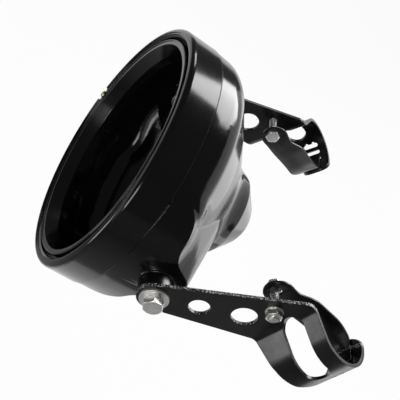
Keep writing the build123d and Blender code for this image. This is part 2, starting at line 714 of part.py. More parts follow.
with BuildPart() as bracket:
    with BuildSketch(Plane.XY.offset(-2 * ARM_END_R)):
        with BuildLine():
            FilletPolyline((-2 * ARM_END_R, arm_mid), fold_point, run_end, radius=FOLD_ROUND)
            CenterArc(fork_point, band_r, wrap_start, BAND_EASE_ANGLE - wrap_start)
            CenterArc(ease_point, ease_r, BAND_EASE_ANGLE, BAND_END_ANGLE - BAND_EASE_ANGLE)
        trace(line_width=ARM_SHEET)
    extrude(amount=2 * ARM_END_R + BAND_TOP_Q)
    # Flat outline: round arm end, flaring edges, level top edge and a rising lower edge
    with BuildSketch(Plane.XZ) as outline:
        with BuildLine():
            ThreePointArc(high_edge, bearing(-ARM_END_R, arm_slope), low_edge)
            Polyline(
                low_edge,
                low_corner,
                (band_low_mid_p, BAND_LOW_MID_Q),
                (band_low_rear_p, BAND_LOW_REAR_Q),
                (band_reach, BAND_LOW_END_Q),
                (band_reach, BAND_TOP_Q),
                high_corner,
                high_edge,
            )
        make_face()
        for corner in (low_corner, (band_low_mid_p, BAND_LOW_MID_Q), high_corner):
            fillet(outline.vertices().sort_by_distance(corner)[0], BAND_TOP_CORNER)
    extrude(amount=-2 * fork_out, mode=Mode.INTERSECT)
    # The lower edge stays level on the stretch that turns back towards the lamp
    with BuildSketch(Plane.XY):
        with Locations((FORK_P, 0)):
            Rectangle(FORK_R + 4 * ARM_SHEET, fork_out, align=(Align.MIN, Align.MIN))
    extrude(amount=BAND_LOW_END_Q, mode=Mode.SUBTRACT)
    # Window across the bend, as wide as two round ends and the sheet between them
    window_mid_q = WINDOW_LOW_Q + WINDOW_WIDTH / 2
    window_start = shifted(fold_point, WINDOW_RUN, fold_turn)
    window_end = shifted(ease_point, ease_r, WINDOW_END_ANGLE)
    with BuildSketch(Plane.XY.offset(WINDOW_LOW_Q)):
        with BuildLine():
            Line(window_start, run_end)
            CenterArc(fork_point, band_r, wrap_start, BAND_EASE_ANGLE - wrap_start)
            CenterArc(ease_point, ease_r, BAND_EASE_ANGLE, WINDOW_END_ANGLE - BAND_EASE_ANGLE)
        trace(line_width=3 * ARM_SHEET)
    extrude(amount=WINDOW_WIDTH, mode=Mode.SUBTRACT)
    for spot, angle in ((window_start, wrap_start), (window_end, WINDOW_END_ANGLE)):
        with BuildSketch(square_plane(spot, angle, window_mid_q)):
            Circle(WINDOW_WIDTH / 2)
        extrude(amount=WINDOW_REACH, both=True, mode=Mode.SUBTRACT)
    # Cross slots for the strap's tongue, the first one with two small lobes
    for number in range(SLOT_COUNT):
        slot_angle = SLOT_FIRST_ANGLE - number * SLOT_PITCH
        slot_spot = shifted(ease_point, ease_r, slot_angle)
        with BuildSketch(square_plane(slot_spot, slot_angle, SLOT_MID_Q)):
            SlotOverall(SLOT_LENGTH, SLOT_WIDTH, rotation=90)
            if number == 0:
                with Locations((-SLOT_WIDTH / 2, 0)):
                    with GridLocations(0, SLOT_LOBE_SPACING, 1, 2):
                        Circle(SLOT_LOBE_R)
        extrude(amount=2 * ARM_SHEET, both=True, mode=Mode.SUBTRACT)
    # Holes of the arm
    with BuildSketch(Plane.XZ):
        Circle(PIVOT_HOLE_R)
        with Locations(bearing(ARM_HOLE_ONE_U, arm_slope)):
            Circle(ARM_HOLE_ONE_R)
        with Locations(bearing(ARM_HOLE_TWO_U, arm_slope)):
            Circle(ARM_HOLE_TWO_R)
        with Locations((clamp_p, CLAMP_Q)):
            Circle(CLAMP_HOLE_R)
    extrude(amount=-2 * fork_out, mode=Mode.SUBTRACT)
    # Round corners at the band's free end
    end_edges = bracket.edges().filter_by(GeomType.LINE)
    end_edges = end_edges.filter_by(lambda edge: abs(edge.length - ARM_SHEET) < 0.1)
    end_spot = shifted(ease_point, ease_r, BAND_END_ANGLE)
    end_corners = end_edges.filter_by(
        lambda edge: hypot(edge.center().X - end_spot[0], edge.center().Y - end_spot[1]) < ARM_SHEET / 2
    )
    fillet(end_corners, BAND_END_CORNER)

# Clamp strap, in the same axes
strap_r = FORK_R + STRAP_SHEET / 2
strap_bend = (strap_neck_p, strap_lobe_mid)
strap_distance = hypot(FORK_P - strap_neck_p, fork_out - strap_lobe_mid)
strap_turn = degrees(
    atan2(fork_out - strap_lobe_mid, FORK_P - strap_neck_p) - asin(strap_r / strap_distance)
)
strap_run = sqrt(strap_distance**2 - strap_r**2)
strap_wrap = shifted(strap_bend, strap_run, strap_turn)
strap_tip = shifted(fork_point, strap_r, STRAP_TIP_ANGLE)
tongue_corner = shifted(strap_tip, STRAP_TIP_RUN, STRAP_TIP_ANGLE + 90)
slot_three_angle = SLOT_FIRST_ANGLE - (SLOT_COUNT - 1) * SLOT_PITCH
tongue_end = shifted(tongue_corner, STRAP_TIP_LENGTH, slot_three_angle)
hook_end = shifted(tongue_end, STRAP_HOOK_LENGTH, slot_three_angle - STRAP_HOOK_TURN)
strap_start = strap_lobe_p - 2 * STRAP_LOBE_R
tip_low_q = SLOT_MID_Q - STRAP_TIP_WIDTH / 2
tip_top_q = SLOT_MID_Q + STRAP_TIP_WIDTH / 2

with BuildPart() as clamp_strap:
    with BuildSketch(Plane.XY.offset(STRAP_LOW_Q)):
        with BuildLine():
            FilletPolyline((strap_start, strap_lobe_mid), strap_bend, strap_wrap, radius=STRAP_BEND_ROUND)
            CenterArc(fork_point, strap_r, strap_turn - 90, STRAP_TIP_ANGLE - strap_turn + 90)
            FilletPolyline(strap_tip, tongue_corner, tongue_end, hook_end, radius=STRAP_TIP_BEND)
        trace(line_width=STRAP_SHEET)
    extrude(amount=STRAP_TOP_Q - STRAP_LOW_Q)
    with BuildSketch(Plane.XZ):
        with Locations((strap_lobe_p, STRAP_MID_Q)):
            Circle(STRAP_LOBE_R)
        Polygon(
            (strap_lobe_p, STRAP_MID_Q - STRAP_NECK_HALF),
            (strap_neck_p, STRAP_MID_Q - STRAP_NECK_HALF),
            (strap_full_p, STRAP_LOW_Q),
            (strap_low_rear_p, STRAP_LOW_REAR_Q),
            (strap_tip[0] - STRAP_SHEET, tip_low_q),
            (band_reach + FORK_R, tip_low_q),
            (band_reach + FORK_R, tip_top_q),
            (strap_tip[0] - STRAP_SHEET, tip_top_q),
            (strap_tip[0] - 2 * STRAP_SHEET, STRAP_TOP_Q),
            (strap_full_p, STRAP_TOP_Q),
            (strap_neck_p, STRAP_MID_Q + STRAP_NECK_HALF),
            (strap_lobe_p, STRAP_MID_Q + STRAP_NECK_HALF),
            align=None,
        )
    extrude(amount=-2 * fork_out, mode=Mode.INTERSECT)
    with BuildSketch(Plane.XZ):
        with Locations((clamp_p + (STRAP_HOLE_LENGTH / 2 - CLAMP_HOLE_R) / 2, CLAMP_Q)):
            SlotOverall(STRAP_HOLE_LENGTH, 2 * CLAMP_HOLE_R)
    extrude(amount=-fork_out, mode=Mode.SUBTRACT)

# Clamp bolt, its washer and its nut, square to the arm
strap_inner_face = strap_lobe_mid - STRAP_SHEET / 2
clamp_nut_face = arm_outer_face + CLAMP_WASHER_THICKNESS

with BuildPart() as clamp_bolt:
    head_plane = clamp_plane(strap_inner_face)
    hex_form(CLAMP_HEAD_FLATS, CLAMP_HEAD_HEIGHT, Plane(head_plane.origin, x_dir=(1, 0, 0), z_dir=(0, -1, 0)))
    with BuildSketch(head_plane):
        Circle(CLAMP_BOLT_R)
    extrude(amount=clamp_nut_face + CLAMP_NUT_HEIGHT + CLAMP_BOLT_PROUD - strap_inner_face)

with BuildPart() as clamp_washer:
    disc(clamp_plane(arm_outer_face), CLAMP_WASHER_R, CLAMP_HOLE_R, CLAMP_WASHER_THICKNESS)

with BuildPart() as clamp_nut:
    hex_form(CLAMP_HEAD_FLATS, CLAMP_NUT_HEIGHT, clamp_plane(clamp_nut_face))
    with BuildSketch(clamp_plane(clamp_nut_face)):
        Circle(CLAMP_BOLT_R)
    extrude(amount=CLAMP_NUT_HEIGHT, mode=Mode.SUBTRACT)

# The right bracket's pieces stand in bracket axes as drawn, the left one's are mirrored
bracket_pieces = {
    "bracket": bracket.part,
    "clamp_strap": clamp_strap.part,
    "clamp_bolt": clamp_bolt.part,
    "clamp_washer": clamp_washer.part,
    "clamp_nut": clamp_nut.part,
}
for piece_name, piece in bracket_pieces.items():
    save(bracket_plane(RIGHT_TURN).location * piece, f"right_{piece_name}")
    save(bracket_plane(LEFT_TURN).location * mirror(piece, about=Plane.XZ), f"left_{piece_name}")
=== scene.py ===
"""Dress a round motorcycle headlight housing and set it in a studio.

CAD pieces get their finishes, and a pressed bucket, threaded bolts and flowing straps replace plain ones.

The lamp looks along -Y, +Z is up and +X is the rider's left. All lengths are in metres.
"""

import json
import logging
import math
from dataclasses import dataclass, field
from enum import Enum
from typing import NamedTuple

import bmesh
import bpy
from mathutils import Matrix, Vector


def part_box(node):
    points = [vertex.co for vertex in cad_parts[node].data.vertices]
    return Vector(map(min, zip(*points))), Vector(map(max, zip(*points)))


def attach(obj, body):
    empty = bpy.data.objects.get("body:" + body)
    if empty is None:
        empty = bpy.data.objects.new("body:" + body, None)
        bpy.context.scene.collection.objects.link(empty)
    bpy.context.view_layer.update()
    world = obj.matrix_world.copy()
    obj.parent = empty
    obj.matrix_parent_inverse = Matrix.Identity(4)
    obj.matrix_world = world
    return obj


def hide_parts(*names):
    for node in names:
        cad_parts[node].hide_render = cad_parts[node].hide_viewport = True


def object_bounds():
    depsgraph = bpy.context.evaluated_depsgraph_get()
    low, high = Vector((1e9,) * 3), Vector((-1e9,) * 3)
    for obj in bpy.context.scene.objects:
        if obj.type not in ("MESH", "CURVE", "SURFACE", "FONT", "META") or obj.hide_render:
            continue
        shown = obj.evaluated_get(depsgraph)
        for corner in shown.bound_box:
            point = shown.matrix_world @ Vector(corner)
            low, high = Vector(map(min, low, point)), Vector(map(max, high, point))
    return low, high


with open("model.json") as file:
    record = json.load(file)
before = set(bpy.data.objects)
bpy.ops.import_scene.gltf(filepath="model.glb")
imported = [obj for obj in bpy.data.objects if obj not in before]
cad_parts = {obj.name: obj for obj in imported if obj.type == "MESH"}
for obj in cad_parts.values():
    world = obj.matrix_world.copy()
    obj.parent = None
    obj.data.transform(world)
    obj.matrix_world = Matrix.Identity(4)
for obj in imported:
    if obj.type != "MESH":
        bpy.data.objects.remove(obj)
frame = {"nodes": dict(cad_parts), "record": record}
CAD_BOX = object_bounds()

LOG = logging.getLogger("headlight")
LEFT_LEAN = 7.90
RIGHT_LEAN = 22.80
PIVOT_Y = 0.040
ALONG_X = (0.0, math.radians(90), 0.0)
SMOOTH_ANGLE = math.radians(32)
DIAGONAL = math.sqrt(0.5)
FULL = (0.0, 1.0)
Triple = tuple[float, float, float]
Colour = Triple
Span = tuple[float, float]
Socket = bpy.types.NodeSocket


class Side(Enum):
    """The two sides of the lamp, with the way each faces along X."""

    LEFT = 1
    RIGHT = -1

    @property
    def word(self) -> str:
        """Return the side's name as the nodes spell it."""
        return self.name.lower()


class HeadEnd(Enum):
    """Where a bolt's head is: on the outside of the lamp or on the inside."""

    OUTER = 1
    INNER = -1


class ShaderTree:
    """A material's node tree, with short calls to add and join its nodes."""

    SOCKETS = {"ior": "IOR"}
    BEVEL_SAMPLES = 6
    NOISE_SPAN = (0.3, 0.7)

    def __init__(self, name: str) -> None:
        """Make an empty material with its output.

        Args:
            name: The material's name.
        """
        self.material = bpy.data.materials.new(name)
        self.material.use_nodes = True
        self.tree = self.material.node_tree
        self.tree.nodes.clear()
        self.output = self.add("ShaderNodeOutputMaterial")
        self.place = self.add("ShaderNodeTexCoord")

    def add(self, kind: str, **sockets: object) -> bpy.types.Node:
        """Add a node and set its input sockets.

        Args:
            kind: The node's type name.
            sockets: Input values, with each socket's name in lower case and joined by underscores.

        Returns:
            The new node.
        """
        node = self.tree.nodes.new(kind)
        for name, value in sockets.items():
            node.inputs[self.SOCKETS.get(name, name.replace("_", " ").title())].default_value = value
        return node

    def join(self, start: Socket, end: Socket) -> None:
        """Link an output to an input."""
        self.tree.links.new(start, end)

    def noise(self, size: float, detail: float = 3.0, stretch: Triple = (1.0, 1.0, 1.0)) -> Socket:
        """Add a noise pattern on Object coordinates.

        Args:
            size: The pattern's grain, in metres.
            detail: How many finer layers it has.
            stretch: Factors along X, Y and Z.

        Returns:
            The noise value's socket.
        """
        mapping = self.add("ShaderNodeMapping", scale=stretch)
        self.join(self.place.outputs["Object"], mapping.inputs["Vector"])
        noise = self.add("ShaderNodeTexNoise", scale=1.0 / size, detail=detail)
        self.join(mapping.outputs["Vector"], noise.inputs["Vector"])
        return noise.outputs[0]

    def spread(self, value: Socket, result: Span, span: Span = NOISE_SPAN) -> Socket:
        """Map a value from a span to another, held at both ends.

        Args:
            value: The socket to map.
            result: The results at the start and end of the span.
            span: The span of the value.

        Returns:
            The mapped value's socket.
        """
        node = self.add(
            "ShaderNodeMapRange", from_min=span[0], from_max=span[1], to_min=result[0], to_max=result[1],
        )
        self.join(value, node.inputs["Value"])
        return node.outputs["Result"]

    def maths(self, how: str, first: Socket, second: Socket | float | None = None) -> Socket:
        """Work out a value from one or two others.

        Args:
            how: The operation's name.
            first: The first socket.
            second: Another socket, or a number.

        Returns:
            The result's socket.
        """
        node = self.add("ShaderNodeMath")
        node.operation = how
        self.join(first, node.inputs[0])
        if isinstance(second, Socket):
            self.join(second, node.inputs[1])
        elif second is not None:
            node.inputs[1].default_value = second
        return node.outputs[0]

    def tint(self, share: Socket, dark: Colour, light: Colour) -> Socket:
        """Blend two colours by a share.

        Args:
            share: A value from 0 to 1.
            dark: The colour at 0.
            light: The colour at 1.

        Returns:
            The blended colour's socket.
        """
        ramp = self.add("ShaderNodeValToRGB")
        ramp.color_ramp.elements[0].color = (*dark, 1.0)
        ramp.color_ramp.elements[1].color = (*light, 1.0)
        self.join(share, ramp.inputs["Fac"])
        return ramp.outputs["Color"]

    def cover(self, share: Socket, under: Socket, over: Colour) -> Socket:
        """Lay an even colour over another one, by a share.

        Args:
            share: A value from 0 to 1.
            under: The colour's socket that shows at 0.
            over: The colour that shows at 1.

        Returns:
            The resulting colour's socket.
        """
        mix = self.add("ShaderNodeMix")
        mix.data_type = "RGBA"
        self.join(share, mix.inputs[0])
        colours = [socket for socket in mix.inputs if socket.type == "RGBA"]
        self.join(under, colours[0])
        colours[1].default_value = (*over, 1.0)
        return next(socket for socket in mix.outputs if socket.type == "RGBA")

    def bumped(self, height: Socket, strength: float, depth: float, edge: float) -> Socket:
        """Raise a surface by a pattern, over eased edges.

        Args:
            height: The pattern's socket.
            strength: How far the bump shows, from 0 to 1.
            depth: The pattern's real height, in metres.
            edge: The radius that edges are eased by, in metres.

        Returns:
            The normal's socket.
        """
        bump = self.add("ShaderNodeBump", strength=strength, distance=depth)
        self.join(height, bump.inputs["Height"])
        bevel = self.add("ShaderNodeBevel", radius=edge)
        bevel.samples = self.BEVEL_SAMPLES
        self.join(bevel.outputs["Normal"], bump.inputs["Normal"])
        return bump.outputs["Normal"]

    def surface(self, **sockets: object) -> bpy.types.Node:
        """Add the main shader and join it to the output.

        Args:
            sockets: Constant values of its inputs.

        Returns:
            The shader node.
        """
        shader = self.add("ShaderNodeBsdfPrincipled", **sockets)
        self.join(shader.outputs["BSDF"], self.output.inputs["Surface"])
        return shader


@dataclass(frozen=True)
class GlossPaint:
    """Black enamel over pressed steel, with a faint ripple and fine wipe marks."""

    name: str
    colour: Colour = (0.0035, 0.0035, 0.0038)
    haze: Colour = (0.006, 0.006, 0.0065)
    smooth: float = 0.10
    wiped: float = 0.20
    ior: float = 1.5
    cloud: float = 0.03
    cloud_share: float = 0.6
    mark: float = 0.0011
    mark_stretch: Triple = (1.0, 6.0, 1.0)
    mark_span: Span = (0.45, 0.75)
    mark_share: float = 0.4
    ripple: float = 0.0022
    ripple_strength: float = 0.35
    ripple_depth: float = 0.00002
    edge: float = 0.0004

    def material(self) -> bpy.types.Material:
        """Build the paint.

        Returns:
            The finished material.
        """
        tree = ShaderTree(self.name)
        shader = tree.surface(ior=self.ior)
        cloud = tree.spread(tree.noise(self.cloud, 4.0), (0.0, self.cloud_share))
        marks = tree.noise(self.mark, 2.0, self.mark_stretch)
        marks = tree.spread(marks, (0.0, self.mark_share), self.mark_span)
        both = tree.maths("ADD", cloud, marks)
        tree.join(tree.tint(both, self.colour, self.haze), shader.inputs["Base Color"])
        tree.join(tree.spread(both, (self.smooth, self.wiped), FULL), shader.inputs["Roughness"])
        peel = tree.noise(self.ripple, 1.0)
        normal = tree.bumped(peel, self.ripple_strength, self.ripple_depth, self.edge)
        tree.join(normal, shader.inputs["Normal"])
        return tree.material


@dataclass(frozen=True)
class SatinPaint:
    """Powder-like black paint with a fine grain, and raised flecks on the left bracket's cut sheet edges,
    painted light grey as highlights.
    """

    name: str
    colour: Colour = (0.004, 0.004, 0.0043)
    dust: Colour = (0.008, 0.008, 0.0085)
    smooth: float = 0.22
    rough: float = 0.34
    ior: float = 1.5
    cloud: float = 0.02
    grain: float = 0.0009
    grain_strength: float = 0.4
    grain_depth: float = 0.00006
    edge: float = 0.0006
    blanked_from: float = 0.1068
    blanked_to: float = 0.1099
    edge_tilt: float = 0.3
    fleck: float = 0.0009
    fleck_span: Span = (0.52, 0.60)
    # Light grey of the edge flecks: a painted highlight, on the left bracket only.
    bare: Colour = (0.78, 0.78, 0.79)
    bare_height: float = 2.0

    def blanked(self, tree: ShaderTree) -> Socket:
        """Find the flecks on the cut edges of the left bracket's flat sheet, where light grey is painted as
        highlights; the right bracket gets none.

        Args:
            tree: The material's tree.

        Returns:
            A share that is 1 on a painted highlight fleck and 0 elsewhere.
        """
        where = tree.add("ShaderNodeSeparateXYZ")
        tree.join(tree.place.outputs["Object"], where.inputs["Vector"])
        facing = tree.add("ShaderNodeSeparateXYZ")
        tree.join(tree.place.outputs["Normal"], facing.inputs["Vector"])
        flat = tree.maths("ABSOLUTE", facing.outputs["X"])
        on_edge = tree.maths("LESS_THAN", flat, self.edge_tilt)
        past = tree.maths("GREATER_THAN", where.outputs["X"], self.blanked_from)
        short = tree.maths("LESS_THAN", where.outputs["X"], self.blanked_to)
        band = tree.maths("MULTIPLY", tree.maths("MULTIPLY", on_edge, past), short)
        return tree.maths("MULTIPLY", band, tree.spread(tree.noise(self.fleck), FULL, self.fleck_span))

    def material(self) -> bpy.types.Material:
        """Build the paint.

        Returns:
            The finished material.
        """
        tree = ShaderTree(self.name)
        shader = tree.surface(ior=self.ior)
        cloud = tree.spread(tree.noise(self.cloud, 4.0), FULL)
        bare = self.blanked(tree)
        paint = tree.tint(cloud, self.colour, self.dust)
        # Painted highlight: light grey flecks laid over the paint on the left bracket's cut edges.
        tree.join(tree.cover(bare, paint, self.bare), shader.inputs["Base Color"])
        tree.join(tree.spread(cloud, (self.smooth, self.rough), FULL), shader.inputs["Roughness"])
        raised = tree.maths("MULTIPLY", bare, self.bare_height)
        height = tree.maths("ADD", tree.noise(self.grain, 2.0), raised)
        normal = tree.bumped(height, self.grain_strength, self.grain_depth, self.edge)
        tree.join(normal, shader.inputs["Normal"])
        return tree.material


@dataclass(frozen=True)
class Metal:
    """Bare or plated metal with fine rubbed lines and faint clouding."""

    name: str
    colour: Colour
    tarnish: Colour
    smooth: float
    rough: float
    cloud: float = 0.004
    lines: Triple = (4.0, 1.0, 1.0)
    grain: float = 0.0006
    grain_strength: float = 0.3
    grain_depth: float = 0.00001
    edge: float = 0.00025

    def material(self) -> bpy.types.Material:
        """Build the metal.

        Returns:
            The finished material.
        """
        tree = ShaderTree(self.name)
        shader = tree.surface(metallic=1.0)
        cloud = tree.spread(tree.noise(self.cloud, 4.0), FULL)
        rubbed = tree.noise(self.grain, 2.0, self.lines)
        tree.join(tree.tint(cloud, self.colour, self.tarnish), shader.inputs["Base Color"])
        tree.join(tree.spread(rubbed, (self.smooth, self.rough)), shader.inputs["Roughness"])
        normal = tree.bumped(rubbed, self.grain_strength, self.grain_depth, self.edge)
        tree.join(normal, shader.inputs["Normal"])
        return tree.material


@dataclass(frozen=True)
class Rubber:
    """Moulded black rubber with a dull bloom."""

    name: str
    colour: Colour = (0.010, 0.010, 0.010)
    bloom: Colour = (0.030, 0.030, 0.029)
    smooth: float = 0.62
    rough: float = 0.85
    ior: float = 1.5
    cloud: float = 0.006
    grain: float = 0.0005
    grain_strength: float = 0.3
    grain_depth: float = 0.00004
    edge: float = 0.0003

    def material(self) -> bpy.types.Material:
        """Build the rubber.

        Returns:
            The finished material.
        """
        tree = ShaderTree(self.name)
        shader = tree.surface(ior=self.ior)
        cloud = tree.spread(tree.noise(self.cloud, 5.0), FULL)
        tree.join(tree.tint(cloud, self.colour, self.bloom), shader.inputs["Base Color"])
        tree.join(tree.spread(cloud, (self.smooth, self.rough), FULL), shader.inputs["Roughness"])
        normal = tree.bumped(tree.noise(self.grain), self.grain_strength, self.grain_depth, self.edge)
        tree.join(normal, shader.inputs["Normal"])
        return tree.material


class Finish(Enum):
    """The finishes of the housing, one for each material slot of the record."""

    GLOSS_BLACK = GlossPaint("gloss_black")
    SATIN_BLACK = SatinPaint("satin_black")
    BRIGHT_STEEL = Metal("bright_steel", (0.94, 0.93, 0.91), (0.84, 0.83, 0.81), smooth=0.34, rough=0.50)
    ZINC_STEEL = Metal("zinc_steel", (0.86, 0.86, 0.83), (0.70, 0.70, 0.67), smooth=0.30, rough=0.46)
    PALE_BRASS = Metal("pale_brass", (0.82, 0.76, 0.56), (0.66, 0.58, 0.38), smooth=0.20, rough=0.36)
    RUBBER = Rubber("rubber")

    @property
    def slot(self) -> str:
        """Return the record's slot for this finish."""
        return self.name.lower()


class FinishBook:
    """Makes each finish once and hands it out."""

    def __init__(self) -> None:
        """Start with no finish made."""
        self.made: dict[Finish, bpy.types.Material] = {}

    def of(self, finish: Finish) -> bpy.types.Material:
        """Return a finish's material.

        Args:
            finish: The finish to use.

        Returns:
            Its material, made on first use.
        """
        if finish not in self.made:
            self.made[finish] = finish.value.material()
        return self.made[finish]

    def dress(self, piece: bpy.types.Object, finish: Finish) -> None:
        """Give a piece one finish all over.

        Args:
            piece: The object to dress.
            finish: Its finish.
        """
        piece.data.materials.clear()
        piece.data.materials.append(self.of(finish))


def deselect_all() -> None:
    """Leave object mode with nothing selected."""
    if bpy.context.object and bpy.context.object.mode != "OBJECT":
        bpy.ops.object.mode_set(mode="OBJECT")
    bpy.ops.object.select_all(action="DESELECT")


def pick(piece: bpy.types.Object) -> None:
    """Select one object alone and make it active.

    Args:
        piece: The object.
    """
    deselect_all()
    piece.select_set(True)
    bpy.context.view_layer.objects.active = piece


def settle(piece: bpy.types.Object) -> None:
    """Put an object's place and turn into its mesh.

    Args:
        piece: The object to settle.
    """
    pick(piece)
    bpy.ops.object.transform_apply(location=True, rotation=True, scale=True)


def apply_modifier(piece: bpy.types.Object, modifier: bpy.types.Modifier) -> None:
    """Apply one modifier of an object.

    Args:
        piece: The object.
        modifier: The modifier to apply.
    """
    pick(piece)
    bpy.ops.object.modifier_apply(modifier=modifier.name)


def combine(piece: bpy.types.Object, tool: bpy.types.Object, operation: str) -> None:
    """Cut a piece with another shape, which is used up.

    Args:
        piece: The object to cut.
        tool: The shape to cut it with.
        operation: The boolean operation's name.
    """
    cut = piece.modifiers.new("cut", "BOOLEAN")
    cut.operation = operation
    cut.object = tool
    apply_modifier(piece, cut)
    bpy.data.objects.remove(tool)


def ease_edges(piece: bpy.types.Object, width: float, angle: float) -> None:
    """Round the sharp edges of a piece a little.

    Args:
        piece: The object.
        width: The round's width.
        angle: The least angle of a sharp edge, in degrees.
    """
    edge = piece.modifiers.new("eased edges", "BEVEL")
    edge.width = width
    edge.segments = 2
    edge.limit_method = "ANGLE"
    edge.angle_limit = math.radians(angle)
    apply_modifier(piece, edge)


@dataclass(frozen=True)
class BoltSize:
    """The sizes of a hexagon bolt that its plain solid doesn't show."""

    shank_r: float
    head_height: float
    pitch: float
    thread_length: float
    head_chamfer_r: float


@dataclass
class ThreadedBolt:
    """A hexagon bolt with a cut thread, in place of a plain one.

    Its axis runs along X. The place and length come from the plain bolt's box. What the thread and the tip
    measure is given in pitches.
    """

    node: str
    body: str
    side: Side
    head_end: HeadEnd
    size: BoltSize
    core_depth: float = 0.6
    ridge_depth: float = 0.65
    ridge_half: float = 0.48
    ridge_end: float = 0.9
    ridge_spare: float = 1.2
    tip_run: float = 0.6
    tip_share: float = 0.86
    chamfer_angle: float = 60.0
    cone_share: float = 4.0
    edge_share: float = 0.03
    edge_angle: float = 25.0
    turn_steps: int = 28
    round_steps: int = 48
    cone_steps: int = 96
    facing: float = 0.9
    weld: float = 1e-7
    axis_y: float = field(init=False)
    axis_z: float = field(init=False)
    to_tip: int = field(init=False)
    seat: float = field(init=False)
    length: float = field(init=False)

    def __post_init__(self) -> None:
        """Read the bolt's place from the frame."""
        low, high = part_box(self.node)
        self.axis_y = (low.y + high.y) / 2
        self.axis_z = (low.z + high.z) / 2
        outward = self.side.value * self.head_end.value
        head_face, tip = (high.x, low.x) if outward > 0 else (low.x, high.x)
        self.to_tip = -outward
        self.seat = head_face + self.to_tip * self.size.head_height
        self.length = abs(tip - self.seat)

    def point(self, along: float) -> Vector:
        """Return the point on the axis at a distance from the head's seat towards the tip."""
        return Vector((self.seat + self.to_tip * along, self.axis_y, self.axis_z))

    def across(self, vertex: bpy.types.MeshVertex) -> Vector:
        """Return a vertex's place across the axis, along Y and Z."""
        return Vector((vertex.co.y - self.axis_y, vertex.co.z - self.axis_z))

    def head(self) -> bpy.types.Object:
        """Model the head: a hexagon turned as the plain bolt's, with its corners turned off to a cone.

        Returns:
            The head's object.
        """
        height = self.size.head_height
        plain = frame["nodes"][self.node].data
        corner = max(map(self.across, plain.vertices), key=lambda place: place.length)
        deselect_all()
        bpy.ops.mesh.primitive_cylinder_add(
            vertices=6, radius=corner.length, depth=height,
            location=self.point(-height / 2), rotation=ALONG_X,
        )
        head = bpy.context.object
        settle(head)
        first = self.across(head.data.vertices[0])
        turn = math.atan2(corner.y, corner.x) - math.atan2(first.y, first.x)
        bpy.ops.object.mode_set(mode="EDIT")
        bpy.ops.mesh.select_all(action="SELECT")
        bpy.ops.transform.rotate(value=-turn, orient_axis="X", center_override=self.point(0.0))
        bpy.ops.object.mode_set(mode="OBJECT")
        cone_height = height * self.cone_share
        spread = cone_height * math.tan(math.radians(self.chamfer_angle))
        deselect_all()
        bpy.ops.mesh.primitive_cone_add(
            vertices=self.cone_steps, depth=cone_height,
            radius1=self.size.head_chamfer_r + spread, radius2=self.size.head_chamfer_r,
            location=self.point(cone_height / 2 - height),
            rotation=(0.0, math.radians(-90 * self.to_tip), 0.0),
        )
        cone = bpy.context.object
        settle(cone)
        combine(head, cone, "INTERSECT")
        ease_edges(head, height * self.edge_share, self.edge_angle)
        return head

    def core(self) -> bpy.types.Object:
        """Model the shank: plain under the head, thinner below the thread, with a chamfered tip.

        Returns:
            The shank's object.
        """
        pitch = self.size.pitch
        plain = max(self.length - self.size.thread_length, pitch / 2)
        tip = pitch * self.tip_run
        deselect_all()
        bpy.ops.mesh.primitive_cylinder_add(
            vertices=self.round_steps, radius=self.size.shank_r, depth=plain,
            location=self.point(plain / 2), rotation=ALONG_X,
        )
        core = bpy.context.object
        settle(core)
        bpy.ops.object.mode_set(mode="EDIT")
        bpy.ops.mesh.select_mode(type="FACE")
        bpy.ops.mesh.select_all(action="DESELECT")
        bpy.ops.object.mode_set(mode="OBJECT")
        for face in core.data.polygons:
            face.select = face.normal.x * self.to_tip > self.facing
        bpy.ops.object.mode_set(mode="EDIT")
        bpy.ops.mesh.inset(thickness=pitch * self.core_depth)
        for run in (self.length - plain - tip, tip):
            bpy.ops.mesh.extrude_region_move(TRANSFORM_OT_translate={"value": (self.to_tip * run, 0.0, 0.0)})
        bpy.ops.transform.resize(
            value=(1.0, self.tip_share, self.tip_share), center_override=self.point(self.length),
        )
        bpy.ops.object.mode_set(mode="OBJECT")
        return core

    def thread(self) -> bpy.types.Object:
        """Model the thread: a three-cornered ridge wound round the shank, closed at both ends.

        Returns:
            The thread's object.
        """
        pitch = self.size.pitch
        turns = int((self.size.thread_length - self.ridge_spare * pitch) / pitch)
        start = self.point(self.length - pitch * self.ridge_end - turns * pitch)
        # The circle with three corners is one and a half radii high.
        radius = pitch * self.ridge_depth / 1.5
        wide = pitch * self.ridge_half / (radius * math.sin(math.radians(60)))
        deselect_all()
        bpy.ops.mesh.primitive_circle_add(vertices=3, radius=radius, fill_type="NOTHING", location=start)
        ridge = bpy.context.object
        bpy.ops.object.mode_set(mode="EDIT")
        bpy.ops.mesh.select_all(action="SELECT")
        bpy.ops.transform.resize(value=(wide, 1.0, 1.0), center_override=start)
        bpy.ops.transform.translate(value=(0.0, self.size.shank_r - radius, 0.0))
        bpy.ops.object.mode_set(mode="OBJECT")
        wind = ridge.modifiers.new("winding", "SCREW")
        wind.axis = "X"
        wind.angle = math.radians(360)
        wind.steps = self.turn_steps
        wind.render_steps = self.turn_steps
        wind.iterations = turns
        wind.screw_offset = self.to_tip * pitch
        apply_modifier(ridge, wind)
        settle(ridge)
        bpy.ops.object.mode_set(mode="EDIT")
        bpy.ops.mesh.select_mode(type="EDGE")
        bpy.ops.mesh.select_all(action="SELECT")
        bpy.ops.mesh.remove_doubles(threshold=self.weld)
        bpy.ops.mesh.select_all(action="DESELECT")
        bpy.ops.mesh.select_non_manifold()
        bpy.ops.mesh.fill()
        bpy.ops.mesh.select_all(action="SELECT")
        bpy.ops.mesh.normals_make_consistent(inside=False)
        bpy.ops.object.mode_set(mode="OBJECT")
        return ridge

